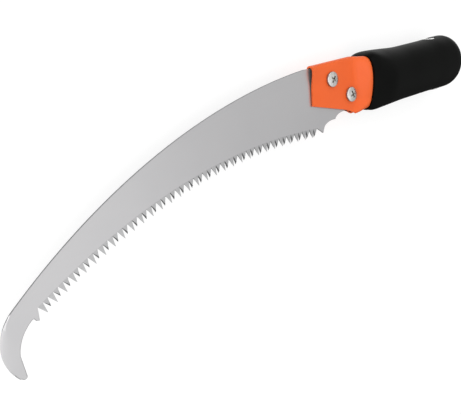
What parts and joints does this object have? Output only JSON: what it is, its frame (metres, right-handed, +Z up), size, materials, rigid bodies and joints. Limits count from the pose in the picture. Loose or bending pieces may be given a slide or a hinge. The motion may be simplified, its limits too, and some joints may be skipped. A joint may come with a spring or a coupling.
{
  "type": "folding pruning saw",
  "caption": "Curved pruning saw with a hooked tip and a toothed inner edge, pivoting between the pressed cheeks of an orange steel tube with a black sleeve grip.",
  "frame": {"origin": "middle of the bottom of the whole saw's box, with the saw lying on its side and the blade open", "axes": "+X along the handle towards the pommel, +Y towards the back of the blade, +Z up out of the side that shows the screw heads"},
  "size_m": [0.4736, 0.1424, 0.0416],
  "materials": {
    "blade_steel": "satin, fine lengthwise grind",
    "orange_paint": "smooth semi-gloss powder coat",
    "black_pvc": "smooth soft PVC with a low sheen",
    "zinc": "bright zinc plate",
    "bronze": "plain bearing bronze",
    "nylon": "plain nylon"
  },
  "bodies": {
    "handle": {"handle_tube": "orange_paint", "grip": "black_pvc", "tube_end_plug": "black_pvc", "hang_eyelet": "zinc", "pivot_screw": "zinc", "pivot_bush": "bronze", "pivot_washer_near": "bronze", "pivot_washer_far": "bronze", "pivot_flat_washer": "zinc", "pivot_nut": "zinc", "pivot_nut_ring": "nylon", "lock_screw": "zinc", "lock_flat_washer": "zinc", "lock_spring_washer": "zinc"},
    "blade": {"blade": "blade_steel"},
    "wing_nut": {"wing_nut": "zinc"}
  },
  "joints": [
    {"name": "blade_fold", "type": "hinge", "parent": "handle", "child": "blade", "pos_m": [0.086, 0.03998, 0.02078], "axis": [0, 0, 1], "range_deg": [0, 150]},
    {"name": "wing_nut_turn", "type": "hinge", "parent": "handle", "child": "wing_nut", "pos_m": [0.065, 0.05608, 0.01178], "axis": [0, 0, -1], "range_deg": [0, 360]}
  ]
}
